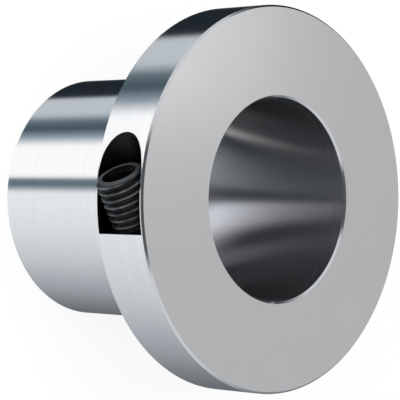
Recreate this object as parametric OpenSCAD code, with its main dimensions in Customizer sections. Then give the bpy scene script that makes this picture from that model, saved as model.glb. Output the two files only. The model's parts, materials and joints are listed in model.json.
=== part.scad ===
// Hydraulic keyless locking bush: a flanged double-walled sleeve, clamped by one screw and piston.
// Turning the screw drives the piston along a chord of the flange. The medium is pushed from the
// cylinder through a duct into the thin chamber between the walls, which then grip shaft and hub.
// Frame: the bush stands on its sleeve end, +Z is the bush axis, and the screw lies along Y.

/* [Sleeve] */
// Diameter of the shaft bore
bore_d = 50; // [47:0.5:51]
// Outside diameter of the sleeve, the hub seat
sleeve_d = 62; // [61:0.5:64]
// Length over all, sleeve and flange
total_l = 66; // [58:0.5:80]
// Chamfer on the turned edges
edge_chamfer = 0.5; // [0.2:0.1:0.7]
// Depth of the grinding relief in the corner behind the flange
relief_depth = 0.3; // [0.1:0.05:0.5]
// Width of the grinding relief along the sleeve and up the flange
relief_w = 2; // [1:0.25:4]

/* [Flange] */
// Outside diameter of the flange
flange_d = 95; // [93:0.5:98]
// Thickness of the flange
flange_t = 15.5; // [15:0.25:18]

/* [Double wall] */
// Thickness of the inner wall beside the chamber
inner_wall = 2.6; // [2.2:0.1:3]
// Radial height of the pressure chamber
chamber_h = 0.6; // [0.4:0.1:0.9]
// Length of the brazed land at the sleeve end
rear_land_l = 6; // [4:0.5:10]
// Length of the flange lip that the inner wall butts against
lip_l = 3; // [2:0.25:3.25]
// Brazing gap between the two walls
braze_gap = 0.02; // [0.01:0.01:0.05]

/* [Screw and pocket] */
// Thread diameter of the pressure screw
screw_d = 12; // [10:0.5:12]
// Thread pitch of the pressure screw
screw_pitch = 1.75; // [1:0.25:1.75]
// Length of the pressure screw
screw_l = 21; // [19.5:0.5:22]
// How far the backed-off screw stands out of the pocket floor
screw_out = 12.5; // [10:0.5:13]
// Width across flats of the hexagon socket
socket_af = 6; // [5:0.5:7]
// Depth of the hexagon socket
socket_depth = 6; // [4:0.5:8]
// Radial clearance of the screw in its thread
thread_clearance = 0.05; // [0.02:0.01:0.1]
// Distance of the screw axis from the bush axis
chord_r = 38; // [37:0.25:38.25]
// Distance of the pocket floor from the middle of the chord
floor_y = 16.4; // [15:0.2:16.6]
// Width of the milled pocket
pocket_d = 14; // [13:0.25:14.5]

/* [Piston] */
// Diameter of the cylinder bore
cylinder_d = 8; // [7:0.25:8.25]
// Length of the piston
piston_l = 12.5; // [11.5:0.5:14]
// Travel of the screw and piston from slack to clamped
stroke = 7; // [5:0.5:7.5]
// Radial clearance of the piston and its seals in the cylinder
piston_clearance = 0.03; // [0.02:0.01:0.06]
// Depth of the seal groove in the piston
groove_depth = 1.4; // [1:0.1:1.8]
// Width of the back-up ring
backup_w = 1.2; // [0.8:0.1:1.6]
// Distance of the seal groove from the pressure face of the piston
groove_face_l = 1.2; // [0.8:0.1:2]
// Diameter of the duct from the cylinder to the chamber
duct_d = 2.5; // [1.5:0.25:2.75]

/* [Hidden] */
$fn = 96;

// Cutters reach past the faces they open by this much
past = 1;
// Radial and axial play left around the medium and the seals
play = 0.03;
// Point angle of a twist drill and flank angle of a metric thread
drill_angle = 118;
thread_angle = 60;
// Sides of the socket
socket_sides = 6;
// Chamfer on the ends of the piston
piston_chamfer = 0.4;

// Radii and levels of the double wall
bore_r = bore_d / 2;
sleeve_r = sleeve_d / 2;
flange_r = flange_d / 2;
flange_z = total_l - flange_t;
screw_z = total_l - flange_t / 2;
chamber_r = bore_r + inner_wall;
joint_r = chamber_r + chamber_h;
chamber_top_z = screw_z + duct_d / 2 + chamber_h;

// Stations along the screw axis, counted inwards from the pocket floor
tip_s = screw_l - screw_out;
thread_end_s = tip_s + stroke + screw_pitch / 2;
piston_face_s = tip_s + piston_l;
cylinder_end_s = piston_face_s + stroke + duct_d + screw_pitch;
drill_point_l = cylinder_d / 2 / tan(drill_angle / 2);
duct_s = cylinder_end_s - play - duct_d / 2;

// Piston and seal sizes
piston_r = cylinder_d / 2 - piston_clearance;
groove_r = piston_r - groove_depth;
ring_section = cylinder_d / 2 - groove_r - 2 * piston_clearance;
ring_r = groove_r + piston_clearance + ring_section / 2;
groove_w = ring_section + backup_w + 3 * play;
groove_s = piston_face_s - groove_face_l - groove_w;

// Screw sizes, with the flats of a metric thread's crests and roots
screw_r = screw_d / 2;
thread_crest_l = screw_pitch / 8;
thread_root_l = screw_pitch / 4;
thread_depth = (screw_pitch - thread_crest_l - thread_root_l) / 2 / tan(thread_angle / 2);
thread_root_r = screw_r - thread_depth;
screw_threads = floor((screw_l - 2 * thread_depth) / screw_pitch);
thread_start_l = (screw_l - screw_threads * screw_pitch) / 2;

// Puts a shape that grows along +Z on the screw axis, station s of it at the pocket floor
module on_screw_axis(s = 0) {
    translate([-chord_r, floor_y - s, screw_z])
        rotate([90, 0, 0])
            children();
}

// One flank pattern of the thread, as radius and length from the screw's outer end
function thread_tooth(l) = [
    [thread_root_r, l + thread_root_l / 2],
    [screw_r, l + (screw_pitch - thread_crest_l) / 2],
    [screw_r, l + (screw_pitch + thread_crest_l) / 2],
    [thread_root_r, l + screw_pitch - thread_root_l / 2]
];

// Slot that opens from the screw axis out through the rim, with a half-round inner wall
module pocket_cut() {
    slot_l = flange_r + past - floor_y;
    on_screw_axis(-slot_l) {
        cylinder(d = pocket_d, h = slot_l);
        translate([-flange_r, -pocket_d / 2, 0])
            cube([flange_r, pocket_d, slot_l]);
    }
}

// Stepped hole for the screw and the piston, ending in a drill point
module cylinder_cut() {
    on_screw_axis(-past)
        cylinder(r = screw_r + thread_clearance, h = thread_end_s + past);
    on_screw_axis(thread_end_s - past)
        cylinder(d = cylinder_d, h = cylinder_end_s - thread_end_s + past);
    on_screw_axis(cylinder_end_s)
        cylinder(d1 = cylinder_d, d2 = 0, h = drill_point_l);
}

// Radial duct from the end of the cylinder in to the given radius
module duct(inner_r, narrower = 0) {
    duct_y = floor_y - duct_s;
    reach = norm([chord_r, duct_y]);
    rotate([0, 0, atan2(duct_y, -chord_r)])
        translate([inner_r, 0, screw_z])
            rotate([0, 90, 0])
                cylinder(d = duct_d - 2 * narrower, h = reach - inner_r);
}

// Turned section of the flange and the outer wall
module flange_sleeve_section() {
    c = edge_chamfer;
    polygon([
        [joint_r, 0], [sleeve_r - c, 0], [sleeve_r, c],
        [sleeve_r, flange_z - relief_w],
        [sleeve_r - relief_depth, flange_z - relief_w + relief_depth],
        [sleeve_r - relief_depth, flange_z + relief_depth],
        [sleeve_r + relief_w - relief_depth, flange_z + relief_depth],
        [sleeve_r + relief_w, flange_z],
        [flange_r - c, flange_z], [flange_r, flange_z + c],
        [flange_r, total_l - c], [flange_r - c, total_l],
        [bore_r + c, total_l], [bore_r, total_l - c],
        [bore_r, total_l - lip_l], [joint_r, total_l - lip_l]
    ]);
}

// Flange and outer wall, turned in one piece and bored for the screw and the piston
module flange_sleeve() {
    color("gainsboro")
        difference() {
            rotate_extrude() flange_sleeve_section();
            pocket_cut();
            cylinder_cut();
            duct(joint_r - past);
        }
}

// Turned section of the inner wall, thinned between its two brazed lands
module inner_sleeve_section() {
    c = edge_chamfer;
    land_r = joint_r - braze_gap;
    polygon([
        [bore_r + c, 0], [land_r, 0], [land_r, rear_land_l], [chamber_r, rear_land_l],
        [chamber_r, chamber_top_z], [land_r, chamber_top_z],
        [land_r, total_l - lip_l - braze_gap], [bore_r, total_l - lip_l - braze_gap],
        [bore_r, c]
    ]);
}

// Inner wall of the double-walled sleeve, which grips the shaft
module inner_sleeve() {
    color("silver")
        rotate_extrude() inner_sleeve_section();
}

// Medium that fills the chamber, the duct and the cylinder ahead of the piston
module pressure_medium() {
    color("goldenrod") {
        translate([0, 0, rear_land_l + play])
            difference() {
                cylinder(r = joint_r - play, h = chamber_top_z - rear_land_l - 2 * play);
                translate([0, 0, -past])
                    cylinder(r = chamber_r + play, h = total_l);
            }
        duct(joint_r - chamber_h / 2, play);
        on_screw_axis(piston_face_s + play)
            cylinder(r = piston_r, h = cylinder_end_s - piston_face_s - play);
        on_screw_axis(cylinder_end_s)
            cylinder(r1 = piston_r, r2 = 0, h = drill_point_l * piston_r * 2 / cylinder_d);
    }
}

// Piston with its seal groove near the pressure face
module piston() {
    color("lightsteelblue")
        on_screw_axis(tip_s)
            rotate_extrude() {
                groove_l = groove_s - tip_s;
                polygon([
                    [0, 0], [piston_r - piston_chamfer, 0], [piston_r, piston_chamfer],
                    [piston_r, groove_l], [groove_r, groove_l],
                    [groove_r, groove_l + groove_w], [piston_r, groove_l + groove_w],
                    [piston_r, piston_l - piston_chamfer], [piston_r - piston_chamfer, piston_l],
                    [0, piston_l]
                ]);
            }
}

// O-ring on the pressure side of the seal groove
module piston_o_ring() {
    color("dimgray")
        on_screw_axis(groove_s + groove_w - play - ring_section / 2)
            rotate_extrude()
                translate([ring_r, 0]) circle(d = ring_section);
}

// Back-up ring that keeps the O-ring from creeping into the gap
module backup_ring() {
    color("ivory")
        on_screw_axis(groove_s + play)
            rotate_extrude()
                translate([ring_r - ring_section / 2, 0]) square([ring_section, backup_w]);
}

// Pressure screw: a threaded plug with a hexagon socket in its outer end
module pressure_screw() {
    thread = [for (i = [0 : screw_threads - 1]) each thread_tooth(thread_start_l + i * screw_pitch)];
    color("black")
        on_screw_axis(-screw_out)
            difference() {
                rotate_extrude()
                    polygon(concat(
                        [[0, 0], [thread_root_r, 0]],
                        thread,
                        [[thread_root_r, screw_l], [0, screw_l]]
                    ));
                translate([0, 0, -past])
                    cylinder(d = socket_af / cos(180 / socket_sides), h = socket_depth + past, $fn = socket_sides);
            }
}

flange_sleeve();
inner_sleeve();
pressure_medium();
piston();
piston_o_ring();
backup_ring();
pressure_screw();
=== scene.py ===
"""Looks of a hydraulic keyless locking bush: turned steel, a black threaded screw and studio light."""

import json
import math

import bmesh
import bpy
from mathutils import Matrix, Vector


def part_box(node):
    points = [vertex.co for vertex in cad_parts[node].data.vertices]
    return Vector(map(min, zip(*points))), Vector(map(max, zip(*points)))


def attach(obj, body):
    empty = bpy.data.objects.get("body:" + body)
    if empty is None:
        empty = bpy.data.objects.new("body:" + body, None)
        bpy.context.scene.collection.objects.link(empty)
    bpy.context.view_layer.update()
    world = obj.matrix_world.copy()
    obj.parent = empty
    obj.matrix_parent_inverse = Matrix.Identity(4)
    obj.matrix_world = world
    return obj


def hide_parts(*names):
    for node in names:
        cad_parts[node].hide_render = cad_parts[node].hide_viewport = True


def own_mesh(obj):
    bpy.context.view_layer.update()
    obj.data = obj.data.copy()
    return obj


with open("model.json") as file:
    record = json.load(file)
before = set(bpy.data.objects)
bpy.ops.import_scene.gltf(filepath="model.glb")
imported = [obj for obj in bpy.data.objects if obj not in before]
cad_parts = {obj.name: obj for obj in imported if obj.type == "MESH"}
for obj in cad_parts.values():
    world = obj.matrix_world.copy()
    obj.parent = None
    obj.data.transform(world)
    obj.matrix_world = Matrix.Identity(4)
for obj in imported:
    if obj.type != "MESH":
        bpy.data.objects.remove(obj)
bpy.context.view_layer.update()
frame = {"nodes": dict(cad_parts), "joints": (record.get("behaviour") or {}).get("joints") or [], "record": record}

MM = 0.001

# Sizes that the looks need, from the frame
FLANGE_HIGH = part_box("flange_sleeve")[1]
TOP_Z = FLANGE_HIGH.z
FLANGE_R = FLANGE_HIGH.x
SCREW_LOW, SCREW_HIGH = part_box("pressure_screw")
MOUNTS = {mount["name"]: mount for mount in frame["record"]["mounts"]}
BORE_R = MOUNTS["shaft_bore"]["dims"]["r_mm"] * MM
SHOULDER_Z = MOUNTS["flange_shoulder"]["pos_m"][2]
JOINTS = {joint["name"]: joint for joint in frame["joints"]}
SCREW_X, SCREW_Y, SCREW_Z = JOINTS["screw_turn"]["pos_m"]
SCREW_END = Vector((SCREW_X, SCREW_Y, SCREW_Z))
SCREW_AXIS = Vector(JOINTS["screw_turn"]["axis"]).normalized()
SCREW_SIDE = SCREW_AXIS.cross(Vector((0, 0, 1))).normalized()
SCREW_UP = SCREW_AXIS.cross(SCREW_SIDE)
SCREW_LENGTH = SCREW_HIGH.y - SCREW_LOW.y
CREST_R = (SCREW_HIGH.z - SCREW_LOW.z) / 2

# Camera, in a frame whose X runs right and Y up across the flange's face
FACE_TURN = math.radians(-30)
FACE_FRAME = Matrix.Translation((0, 0, TOP_Z)) @ Matrix.Rotation(FACE_TURN, 4, "Z")
CAMERA_TURN = math.radians(46.46)
CAMERA_NOD = math.radians(0.5)
CAMERA_ROLL = math.radians(-0.4)
CAMERA_OFFSET = Vector((19.56, 0.1, -475.0)) * MM
CAMERA_NEAR = 10 * MM
SENSOR = 36.0
LENS = 175.0

# Light around the bush: strips by degrees from the camera's side, under a pale ceiling
STRIPS = [
    (-180, (0.11, 0.12, 0.13)), (-150, (0.16, 0.175, 0.19)), (-125, (0.25, 0.27, 0.29)),
    (-90, (0.47, 0.5, 0.53)), (-60, (0.7, 0.73, 0.76)), (-30, (0.87, 0.9, 0.92)),
    (-5, (0.97, 0.99, 1.0)), (4, (1.0, 1.0, 1.0)), (8, (0.4, 0.46, 0.5)),
    (11, (0.13, 0.17, 0.2)), (17, (0.13, 0.17, 0.2)), (20, (1.2, 1.2, 1.2)),
    (51, (1.2, 1.2, 1.2)), (61, (0.3, 0.37, 0.43)), (70, (0.06, 0.09, 0.11)),
    (80, (0.14, 0.19, 0.22)), (89, (0.6, 0.65, 0.69)), (111, (0.6, 0.65, 0.69)),
    (117, (0.015, 0.022, 0.028)), (159, (0.015, 0.022, 0.028)), (174, (0.12, 0.15, 0.17)),
]
CEILING = (0.72, 0.73, 0.74)
CEILING_RISE = (0.05, 0.4)
DARK_SIDE = (0.1, 0.105, 0.11)
DARK_SIDE_CORE = math.radians(22)
DARK_SIDE_EDGE = math.radians(33)
WHITE = (1, 1, 1)

# Light under the bore: shades by degrees around the wall in view, and their strength by millimetres
BORE_SHADES = [
    (-90, (0.01, 0.015, 0.02)), (-82, (0.02, 0.02, 0.02)), (-74, (2.6, 2.4, 2.4)),
    (-60, (2.6, 2.4, 2.4)), (-53, (0.12, 0.14, 0.15)), (-42, (0.12, 0.14, 0.15)),
    (-30, (0.5, 0.56, 0.57)), (-8, (1.2, 1.3, 1.32)), (-5, (0.05, 0.06, 0.07)),
    (1, (0.05, 0.06, 0.07)), (4, (4.9, 4.85, 5.1)), (16, (3.2, 3.1, 3.2)),
    (25, (0.1, 0.11, 0.12)), (35, (0.04, 0.05, 0.055)), (45, (0.55, 0.54, 0.55)),
    (60, (0.55, 0.54, 0.55)), (70, (0.01, 0.015, 0.02)), (90, (0.01, 0.015, 0.02)),
]
BORE_FADE = [(-25, 0.07), (-15, 0.13), (-5, 0.36), (2, 1.0), (10, 1.0), (16, 0.8)]
CARD_MARGIN = 3 * MM
CARD_SEGMENTS = 48

# Floor
FLOOR_HALF = 2.0
FLOOR_GREY = (0.85, 0.85, 0.85)
FLOOR_ROUGH = 0.9
FLOOR_WHITE_SHARE = 0.85

# Turned steel: colours, roughness, and the scale and height of its marks
STEEL = (0.8, 0.81, 0.82)
DULL_STEEL = (0.772, 0.782, 0.795)
FACE_STEEL = (0.63, 0.63, 0.635)
# Painted shade: the pocket near black, and the bore darker than the walls
POCKET_PAINTED_SHADE = (0.02, 0.021, 0.023)
BORE_STEEL_PAINTED_SHADE = (0.31, 0.32, 0.335)
WALL_ROUGH = (0.07, 0.16)
BORE_ROUGH = (0.22, 0.3)
FACE_ROUGH = (0.36, 0.46)
POCKET_ROUGH = (0.3, 0.45)
TOOL_LINES = 2200
TOOL_PASSES = 520
PASS_SPAN = (0.3, 0.7)
STEEL_CLOUDS = 90
LINE_STRENGTH = 0.06
MARK_HEIGHT = 0.02 * MM

# How upright a normal is on faces and walls, and how far the bore and the pocket reach
FACE_UPRIGHT = 0.95
WALL_UPRIGHT = 0.3
BORE_SKIN = 0.05 * MM
RIM_SKIN = 0.06 * MM
POCKET_FROM_BORE = 1 * MM
POCKET_FROM_FACE = 0.6 * MM

# Pressure screw
THREAD_PITCH = 1.75 * MM
THREAD_CREST = 1 / 8
THREAD_ROOT = 1 / 4
THREAD_DEPTH = 0.5413 * THREAD_PITCH
SOCKET_AF = 6 * MM
SOCKET_DEPTH = 6 * MM
SOCKET_POINT = 1.2 * MM
MOUTH_R = 4.2 * MM
MOUTH_DEPTH = 1.3 * MM
END_FLAT = 5.1 * MM
SCREW_SEGMENTS = 96
SOCKET_RINGS = 3
SPARE_TURNS = 2

# Where the thread's outline bends, as shares of a turn from the middle of its root
ROOT_EDGE = THREAD_ROOT / 2
CREST_EDGE = (1 - THREAD_CREST) / 2
MID_FLANK = (ROOT_EDGE + CREST_EDGE) / 2
THREAD_BENDS = [0, ROOT_EDGE, MID_FLANK, CREST_EDGE, 0.5, 1 - CREST_EDGE, 1 - MID_FLANK, 1 - ROOT_EDGE]

# Black steel of the screw; crests and outer end lighter grey, partly wear and partly painted highlight, dimmed
# deeper in by painted shade, and painted shade in the socket
BLACK = (0.006, 0.006, 0.007)
PALE_BLACK = (0.02, 0.021, 0.022)
WEAR_AND_HIGHLIGHT_GREY = (0.23, 0.25, 0.26)
SOCKET_PAINTED_SHADE = (0.003, 0.003, 0.003)
BLACK_ROUGH = (0.25, 0.42)
BLACK_METALLIC = 0.5
BLACK_SHINE = 0.14
SOCKET_SHADE_SHINE = 0.02
SOCKET_SKIN = 0.05 * MM
BLACK_CLOUDS = 420
BLACK_GRAIN = 6000
BLACK_GRAIN_STRENGTH = 0.12
WEAR_AND_HIGHLIGHT_HEIGHT = 0.4 * MM
WEAR_AND_HIGHLIGHT_CLOUDS = (0.2, 0.75)
PAINTED_SHADE_DEPTH = (1 * MM, 8 * MM)
DEEP_WEAR_UNDER_SHADE = 0.4
END_DEPTH = (0.05 * MM, 0.6 * MM)
END_WEAR_AND_HIGHLIGHT = 0.3

# Pieces inside: finish, colour, darker colour, roughness, metallic and scale of the grain
INNER_FINISHES = {
    "piston": ("piston_steel", (0.66, 0.67, 0.68), (0.55, 0.56, 0.57), (0.2, 0.3), 1, 900),
    "piston_o_ring": ("seal_rubber", (0.03, 0.03, 0.03), (0.015, 0.015, 0.015), (0.5, 0.7), 0, 2500),
    "backup_ring": ("backup_plastic", (0.86, 0.85, 0.8), (0.8, 0.79, 0.74), (0.4, 0.5), 0, 1500),
}
MEDIUM_FINISH = ("medium_oil", (0.75, 0.5, 0.12), (0.68, 0.44, 0.1), (0.1, 0.2), 0, 400)
INNER_GRAIN_STRENGTH = 0.1

# Length of the medium's column that is left before the clamped piston
COLUMN_LEFT = 1.6 * MM

# Meshes
WELD = 0.001 * MM
SHARP_EDGE = math.radians(30)


class Graph:
    """Short calls for the nodes of a material or world. A value is a socket or what a socket can hold."""

    def __init__(self, tree):
        self.nodes = tree.nodes
        self.links = tree.links

    def feed(self, socket, value):
        """Links a socket to another, or sets what it holds."""
        if isinstance(value, bpy.types.NodeSocket):
            self.links.new(value, socket)
        elif socket.type == "RGBA":
            socket.default_value = (*value, 1)
        else:
            socket.default_value = value

    def add(self, kind, values):
        """A new node with its named inputs fed."""
        node = self.nodes.new(kind)
        for name, value in values.items():
            self.feed(node.inputs[name], value)
        return node

    def place(self, kind):
        """Coordinates or normal of the point that is shaded."""
        return self.nodes.new("ShaderNodeTexCoord").outputs[kind]

    def camera_ray(self):
        """1 for what the camera sees directly, else 0."""
        return self.nodes.new("ShaderNodeLightPath").outputs["Is Camera Ray"]

    def calc(self, operation, *values):
        """The result of a math operation."""
        node = self.nodes.new("ShaderNodeMath")
        node.operation = operation
        for socket, value in zip(node.inputs, values):
            self.feed(socket, value)
        return node.outputs[0]

    def product(self, first, *others):
        """All the values multiplied."""
        for other in others:
            first = self.calc("MULTIPLY", first, other)
        return first

    def distance(self, first, second):
        """Distance from zero of a point with two coordinates."""
        squares = [self.product(value, value) for value in (first, second)]
        return self.calc("SQRT", self.calc("ADD", *squares))

    def degrees(self, rise, run):
        """Angle of a slope."""
        return self.calc("DEGREES", self.calc("ARCTAN2", rise, run))

    def scaled(self, value, low, high):
        """A value from 0 to 1 brought to low and high."""
        inputs = {"Value": value, "To Min": low, "To Max": high}
        return self.add("ShaderNodeMapRange", inputs).outputs["Result"]

    def span(self, value, start, end):
        """0 up to start, 1 from end on, and a straight rise between them."""
        inputs = {"Value": value, "From Min": start, "From Max": end}
        return self.add("ShaderNodeMapRange", inputs).outputs["Result"]

    def mix(self, mask, low, high, data="FLOAT"):
        """One of two values by a mask, or a blend of them."""
        kind = "VALUE" if data == "FLOAT" else data
        node = self.add("ShaderNodeMix", {"Factor": mask})
        node.data_type = data
        for name, value in (("A", low), ("B", high)):
            self.feed(next(s for s in node.inputs if s.name == name and s.type == kind), value)
        return next(s for s in node.outputs if s.type == kind)

    def mix_colour(self, mask, low, high):
        """One of two colours by a mask, or a blend of them."""
        return self.mix(mask, low, high, "RGBA")

    def mix_vector(self, mask, low, high):
        """One of two vectors by a mask, or a blend of them."""
        return self.mix(mask, low, high, "VECTOR")

    def noise(self, vector, scale, detail):
        """A noise texture's value."""
        inputs = {"Vector": vector, "Scale": scale, "Detail": detail}
        return self.add("ShaderNodeTexNoise", inputs).outputs["Fac"]

    def bump(self, height, strength, normal=None):
        """A normal with marks in it, on the surface's own normal or a given one."""
        inputs = {"Height": height, "Strength": strength, "Distance": MARK_HEIGHT}
        if normal:
            inputs["Normal"] = normal
        return self.add("ShaderNodeBump", inputs).outputs["Normal"]

    def flat_vector(self, x, y):
        """A vector from two values, without a third."""
        return self.add("ShaderNodeCombineXYZ", {"X": x, "Y": y}).outputs[0]

    def parts(self, vector):
        """The three values of a vector."""
        return self.add("ShaderNodeSeparateXYZ", {"Vector": vector}).outputs

    def to_world(self, direction):
        """A direction of the part as a unit vector in the world."""
        turn = self.add("ShaderNodeVectorTransform", {"Vector": direction})
        turn.vector_type = "NORMAL"
        turn.convert_from = "OBJECT"
        turn.convert_to = "WORLD"
        unit = self.nodes.new("ShaderNodeVectorMath")
        unit.operation = "NORMALIZE"
        self.feed(unit.inputs[0], turn.outputs[0])
        return unit.outputs["Vector"]

    def picture_axes(self, vector):
        """A vector's values along the picture's X and Y across the bush, and along its axis."""
        turn = self.add("ShaderNodeMapping", {"Vector": vector, "Rotation": (0, 0, -FACE_TURN)})
        return self.parts(turn.outputs["Vector"])

    def ramp(self, value, low, high, stops):
        """A colour by a value, from stops that are given in the value's own unit."""
        node = self.add("ShaderNodeValToRGB", {"Fac": self.span(value, low, high)})
        elements = node.color_ramp.elements
        while len(elements) < len(stops):
            elements.new(0.5)
        for element, (place, colour) in zip(elements, stops):
            element.position = (place - low) / (high - low)
            element.color = (*colour, 1)
        return node.outputs["Color"]


def new_material(name):
    """A node material and its graph."""
    material = bpy.data.materials.new(name)
    material.use_nodes = True
    return material, Graph(material.node_tree)


def in_pocket(graph, radius, z):
    """A mask of the milled pocket, by its place inside the flange."""
    return graph.product(
        graph.calc("LESS_THAN", radius, FLANGE_R - RIM_SKIN),
        graph.calc("GREATER_THAN", radius, BORE_R + POCKET_FROM_BORE),
        graph.calc("GREATER_THAN", z, SHOULDER_Z + POCKET_FROM_FACE),
        graph.calc("LESS_THAN", z, TOP_Z - POCKET_FROM_FACE),
    )


def turned_steel(name, has_pocket):
    """Turned steel: bright walls, honed bore tinted darker as painted shade, satin faces, fine tool lines, and a
    pocket painted near black as shade, or none.
    """
    material, graph = new_material(name)
    place = graph.place("Object")
    own_normal = graph.place("Normal")
    x, y, z = graph.parts(place)
    radius = graph.distance(x, y)
    upright = graph.calc("ABSOLUTE", graph.parts(own_normal)["Z"])
    is_face = graph.calc("GREATER_THAN", upright, FACE_UPRIGHT)
    is_wall = graph.calc("LESS_THAN", upright, WALL_UPRIGHT)
    in_bore = graph.calc("LESS_THAN", radius, BORE_R + BORE_SKIN)

    turned = graph.flat_vector(radius, z)
    lines = graph.noise(turned, TOOL_LINES, 3)
    passes = graph.noise(turned, TOOL_PASSES, 4)
    cloud = graph.noise(place, STEEL_CLOUDS, 3)

    rough = graph.mix(in_bore, graph.scaled(lines, *WALL_ROUGH), graph.scaled(lines, *BORE_ROUGH))
    rough = graph.mix(is_face, rough, graph.scaled(cloud, *FACE_ROUGH))
    tint = graph.mix_colour(graph.span(passes, *PASS_SPAN), DULL_STEEL, STEEL)
    # Painted shade: the bore tinted darker than the walls
    tint = graph.mix_colour(in_bore, tint, BORE_STEEL_PAINTED_SHADE)
    tint = graph.mix_colour(is_face, tint, FACE_STEEL)
    # Painted shade: the pocket's walls tinted near black, with their own roughness
    if has_pocket:
        pocket = in_pocket(graph, radius, z)
        rough = graph.mix(pocket, rough, graph.scaled(cloud, *POCKET_ROUGH))
        tint = graph.mix_colour(pocket, tint, POCKET_PAINTED_SHADE)
        is_wall = graph.product(is_wall, graph.calc("SUBTRACT", 1.0, pocket))

    # True normals on the round walls, so that no seam or facet shows in them
    outward = graph.scaled(in_bore, 1, -1)
    radial = graph.flat_vector(graph.product(x, outward), graph.product(y, outward))
    normal = graph.to_world(graph.mix_vector(is_wall, own_normal, radial))

    shader = graph.nodes["Principled BSDF"].inputs
    graph.feed(shader["Base Color"], tint)
    graph.feed(shader["Roughness"], rough)
    graph.feed(shader["Metallic"], 1)
    graph.feed(shader["Anisotropic"], in_bore)
    graph.feed(shader["Tangent"], graph.to_world((0, 0, 1)))
    graph.feed(shader["Normal"], graph.bump(lines, LINE_STRENGTH, normal))
    return material


def black_steel(name):
    """Black-oxide steel with a faint grain; crests and outer end lighter grey, partly wear and partly painted
    highlight, dimmed deeper in by painted shade; the socket painted near black as shade.
    """
    material, graph = new_material(name)
    place = graph.place("Object")
    cloud = graph.noise(place, BLACK_CLOUDS, 4)
    grain = graph.noise(place, BLACK_GRAIN, 2)
    x, y, z = graph.parts(place)
    radius = graph.distance(graph.calc("SUBTRACT", x, SCREW_X), graph.calc("SUBTRACT", z, SCREW_Z))
    depth = graph.calc("SUBTRACT", SCREW_Y, y)

    # Crests and outer end: lighter grey, partly wear and partly painted highlight
    crest = graph.span(radius, CREST_R - WEAR_AND_HIGHLIGHT_HEIGHT, CREST_R)
    # Painted shade: the crests' lighter grey dimmed deeper in
    deep_shade = graph.scaled(graph.span(depth, *PAINTED_SHADE_DEPTH), 1.0, DEEP_WEAR_UNDER_SHADE)
    crest = graph.product(crest, graph.span(cloud, *WEAR_AND_HIGHLIGHT_CLOUDS), deep_shade)
    end_ring = graph.scaled(graph.span(depth, *END_DEPTH), END_WEAR_AND_HIGHLIGHT, 0.0)
    wear_and_highlight = graph.calc("MAXIMUM", crest, end_ring)
    # Painted shade in the socket: near black, with little shine
    in_socket = graph.calc("LESS_THAN", radius, MOUTH_R - SOCKET_SKIN)
    tint = graph.mix_colour(cloud, BLACK, PALE_BLACK)
    tint = graph.mix_colour(wear_and_highlight, tint, WEAR_AND_HIGHLIGHT_GREY)

    shader = graph.nodes["Principled BSDF"].inputs
    graph.feed(shader["Base Color"], graph.mix_colour(in_socket, tint, SOCKET_PAINTED_SHADE))
    graph.feed(shader["Roughness"], graph.scaled(cloud, *BLACK_ROUGH))
    graph.feed(shader["Metallic"], BLACK_METALLIC)
    graph.feed(shader["Specular IOR Level"], graph.scaled(in_socket, BLACK_SHINE, SOCKET_SHADE_SHINE))
    graph.feed(shader["Normal"], graph.bump(grain, BLACK_GRAIN_STRENGTH))
    return material


def plain_grain(name, colour, dark, roughness, metallic, scale):
    """A finish of one colour with a fine grain, for the pieces inside."""
    material, graph = new_material(name)
    grain = graph.noise(graph.place("Object"), scale, 4)
    shader = graph.nodes["Principled BSDF"].inputs
    graph.feed(shader["Base Color"], graph.mix_colour(grain, dark, colour))
    graph.feed(shader["Roughness"], graph.scaled(grain, *roughness))
    graph.feed(shader["Metallic"], metallic)
    graph.feed(shader["Normal"], graph.bump(grain, INNER_GRAIN_STRENGTH))
    return material


def wear(node, material):
    """Gives a CAD node its finish."""
    mesh = frame["nodes"][node].data
    mesh.materials.clear()
    mesh.materials.append(material)


def add_object(name, data):
    """A new object in the scene."""
    item = bpy.data.objects.new(name, data)
    bpy.context.scene.collection.objects.link(item)
    return item


def new_piece(name, grid, material):
    """A piece from a grid of points and faces, smooth but for its real edges."""
    mesh = bpy.data.meshes.new(name)
    grid.to_mesh(mesh)
    grid.free()
    mesh.shade_smooth()
    mesh.set_sharp_from_angle(angle=SHARP_EDGE)
    mesh.materials.append(material)
    return add_object(name, mesh)


def thread_radius(along, angle):
    """Radius of the right-hand thread at a place along the screw, with ends turned down at 45 degrees."""
    phase = (along / THREAD_PITCH - angle / math.tau) % 1
    from_crest = abs(phase - 0.5)
    flank = (1 - THREAD_CREST - THREAD_ROOT) / 2
    fall = min(max((from_crest - THREAD_CREST / 2) / flank, 0), 1)
    radius = CREST_R - THREAD_DEPTH * fall
    return min(radius, END_FLAT + along, END_FLAT + SCREW_LENGTH - along)


def socket_radius(angle):
    """Radius of the hexagon socket's wall at an angle."""
    sixth = math.tau / 6
    return SOCKET_AF / 2 / math.cos((angle + sixth / 2) % sixth - sixth / 2)


def screw_point(radius, along, angle):
    """A point of the screw, by its radius, its distance from the outer end and its angle."""
    outward = SCREW_SIDE * math.cos(angle) + SCREW_UP * math.sin(angle)
    return SCREW_END + SCREW_AXIS * along + outward * radius


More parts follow.
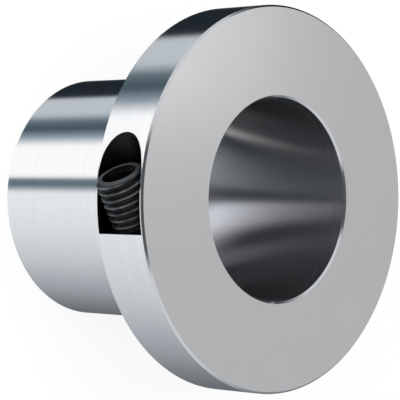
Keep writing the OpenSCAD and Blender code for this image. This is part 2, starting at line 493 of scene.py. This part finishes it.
def threaded_screw(material):
    """The pressure screw: hexagon socket, then rows of points that follow the thread's helix."""
    turns = math.ceil(SCREW_LENGTH / THREAD_PITCH)
    rows = [whole + bend for whole in range(-SPARE_TURNS, turns + SPARE_TURNS) for bend in THREAD_BENDS]
    grid = bmesh.new()
    columns = []
    for i in range(SCREW_SEGMENTS):
        angle = math.tau * i / SCREW_SEGMENTS
        column = [
            screw_point(socket_radius(angle), SOCKET_DEPTH, angle),
            screw_point(socket_radius(angle), MOUTH_DEPTH, angle),
            screw_point(MOUTH_R, 0, angle),
        ]
        for row in rows:
            along = min(max((row + i / SCREW_SEGMENTS) * THREAD_PITCH, 0), SCREW_LENGTH)
            column.append(screw_point(thread_radius(along, angle), along, angle))
        columns.append([grid.verts.new(point) for point in column])
    socket_point = grid.verts.new(screw_point(0, SOCKET_DEPTH + SOCKET_POINT, 0))
    inner_end = grid.verts.new(screw_point(0, SCREW_LENGTH, 0))

    # Where the circle closes, each row meets the row that lies one turn further on
    per_turn = len(THREAD_BENDS)
    last_row = SOCKET_RINGS + len(rows) - 1 - per_turn
    for i, column in enumerate(columns):
        beside = columns[(i + 1) % SCREW_SEGMENTS]
        lead = per_turn if i == SCREW_SEGMENTS - 1 else 0
        grid.faces.new((socket_point, beside[0], column[0]))
        for ring in range(SOCKET_RINGS):
            grid.faces.new((column[ring], beside[ring], beside[ring + 1], column[ring + 1]))
        for row in range(SOCKET_RINGS, last_row):
            grid.faces.new((column[row], beside[row + lead], beside[row + lead + 1], column[row + 1]))
        grid.faces.new((column[last_row], beside[last_row], inner_end))
    bmesh.ops.remove_doubles(grid, verts=grid.verts, dist=WELD)
    return new_piece("threaded_screw", grid, material)


def in_cylinder(face):
    """Whether a face of the medium belongs to the piston's cylinder."""
    centre = face.calc_center_median()
    return math.hypot(centre.x - SCREW_X, centre.z - SCREW_Z) < CREST_R


def cut_medium(name, split_y, column, material):
    """A copy of the medium, cut across its cylinder: the column on the piston's side, or all the rest."""
    grid = bmesh.new()
    grid.from_mesh(frame["nodes"]["pressure_medium"].data)
    bmesh.ops.remove_doubles(grid, verts=grid.verts, dist=WELD)
    cut = [face for face in grid.faces if in_cylinder(face)]
    for parts in (grid.edges, grid.verts):
        cut += [part for part in parts if any(in_cylinder(face) for face in part.link_faces)]
    bmesh.ops.bisect_plane(grid, geom=cut, plane_co=(0, split_y, 0), plane_no=(0, 1, 0))
    drop = []
    for face in grid.faces:
        is_column = in_cylinder(face) and face.calc_center_median().y > split_y
        if is_column != column:
            drop.append(face)
    bmesh.ops.delete(grid, geom=drop, context="FACES")
    bmesh.ops.holes_fill(grid, edges=[edge for edge in grid.edges if edge.is_boundary], sides=0)
    bmesh.ops.recalc_face_normals(grid, faces=grid.faces)
    piece = new_piece(name, grid, material)
    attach(piece, "bush")
    return piece


def medium_pieces(material):
    """The medium: the fill of chamber and duct, and the column before the piston, on a mesh of its own."""
    travel = JOINTS["piston_slide"]["range_m"][1]
    piston_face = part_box("piston")[0].y
    split_y = piston_face - travel - COLUMN_LEFT
    fill = cut_medium("medium_fill", split_y, False, material)
    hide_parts("pressure_medium")
    column = cut_medium("medium_column", split_y, True, material)
    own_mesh(column)


def studio_world():
    """A pale soft ceiling over the strips, dark on the camera's side, and white to the camera."""
    world = bpy.data.worlds.new("studio")
    bpy.context.scene.world = world
    world.use_nodes = True
    graph = Graph(world.node_tree)
    x, y, z = graph.picture_axes(graph.place("Generated"))
    angle = graph.degrees(y, graph.product(x, -1.0))
    strips = graph.ramp(angle, -180, 180, STRIPS)
    sky = graph.mix_colour(graph.span(z, *CEILING_RISE), strips, CEILING)

    aside = graph.product(x, -math.sin(CAMERA_TURN))
    above = graph.product(z, math.cos(CAMERA_TURN))
    towards = graph.calc("ADD", aside, above)
    facing = graph.span(towards, math.cos(DARK_SIDE_EDGE), math.cos(DARK_SIDE_CORE))
    room = graph.mix_colour(facing, sky, DARK_SIDE)
    seen = graph.mix_colour(graph.camera_ray(), room, WHITE)
    graph.feed(graph.nodes["Background"].inputs["Color"], seen)


def studio_floor():
    """A pale floor, white to the camera, that keeps the bush's shadow."""
    signs = [(-1, -1), (1, -1), (1, 1), (-1, 1)]
    mesh = bpy.data.meshes.new("floor")
    mesh.from_pydata([(FLOOR_HALF * a, FLOOR_HALF * b, 0) for a, b in signs], [], [range(4)])
    floor = add_object("floor", mesh)
    material, graph = new_material("floor_paper")
    shader = graph.nodes["Principled BSDF"]
    graph.feed(shader.inputs["Base Color"], FLOOR_GREY)
    graph.feed(shader.inputs["Roughness"], FLOOR_ROUGH)
    white = graph.nodes.new("ShaderNodeEmission")
    paper = graph.nodes.new("ShaderNodeMixShader")
    blend = (graph.product(graph.camera_ray(), FLOOR_WHITE_SHARE), shader.outputs[0], white.outputs[0])
    for socket, value in zip(paper.inputs, blend):
        graph.feed(socket, value)
    graph.feed(graph.nodes["Material Output"].inputs["Surface"], paper.outputs[0])
    mesh.materials.append(material)
    floor.visible_glossy = False


def bore_card():
    """A card under the bore with light and dark wedges, seen only in reflections."""
    turns = [math.tau * i / CARD_SEGMENTS for i in range(CARD_SEGMENTS)]
    radius = BORE_R + CARD_MARGIN
    points = [(radius * math.cos(turn), radius * math.sin(turn), 0) for turn in turns]
    mesh = bpy.data.meshes.new("bore_card")
    mesh.from_pydata(points, [], [range(CARD_SEGMENTS)])
    card = add_object("bore_card", mesh)
    material, graph = new_material("bore_card")
    x, y = graph.picture_axes(graph.place("Object"))[:2]
    angle = graph.degrees(y, graph.calc("SUBTRACT", BORE_R, x))
    shade = graph.ramp(angle, -180, 180, BORE_SHADES)
    fade = graph.ramp(x, -BORE_R, BORE_R, [(at * MM, (v, v, v)) for at, v in BORE_FADE])
    glow = graph.add("ShaderNodeEmission", {"Color": shade, "Strength": fade})
    graph.feed(graph.nodes["Material Output"].inputs["Surface"], glow.outputs[0])
    mesh.materials.append(material)
    card.visible_camera = False
    card.visible_diffuse = False
    card.visible_shadow = False


def studio_camera():
    """The camera, looking down on the face with the bush's axis across the picture."""
    turn = Matrix.Rotation(CAMERA_ROLL, 4, "Z")
    turn @= Matrix.Rotation(CAMERA_NOD, 4, "X")
    turn @= Matrix.Rotation(CAMERA_TURN, 4, "Y")
    seen = Matrix.Translation(CAMERA_OFFSET) @ turn
    data = bpy.data.cameras.new("camera")
    data.lens = LENS
    data.sensor_width = SENSOR
    data.clip_start = CAMERA_NEAR
    camera = add_object("camera", data)
    camera.matrix_world = FACE_FRAME @ seen.inverted()
    bpy.context.scene.camera = camera


def soft_lamp(name, place, aim, size, power, mirrored):
    """A square soft lamp, which metal mirrors or not. Place and aim are in the picture's axes on the face."""
    data = bpy.data.lights.new(name, "AREA")
    data.size = size
    data.energy = power
    lamp = add_object(name, data)
    lamp.location = FACE_FRAME @ (Vector(place) * MM)
    direction = FACE_FRAME @ (Vector(aim) * MM) - lamp.location
    lamp.rotation_euler = direction.to_track_quat("-Z", "Y").to_euler()
    lamp.visible_camera = False
    lamp.visible_glossy = mirrored


wear("flange_sleeve", turned_steel("bright_steel", has_pocket=True))
wear("inner_sleeve", turned_steel("bore_steel", has_pocket=False))
for node, finish in INNER_FINISHES.items():
    wear(node, plain_grain(*finish))
medium_pieces(plain_grain(*MEDIUM_FINISH))

screw = threaded_screw(black_steel("black_oxide"))
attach(screw, "screw")
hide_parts("pressure_screw")

studio_world()
studio_floor()
bore_card()
studio_camera()
soft_lamp("key_lamp", place=(-480, 130, 640), aim=(0, 0, 0), size=0.6, power=8, mirrored=False)
soft_lamp("face_lamp", place=(22, 52, 78), aim=(-20, 50, 0), size=0.06, power=0.0075, mirrored=True)

bpy.context.scene.view_settings.view_transform = "Standard"
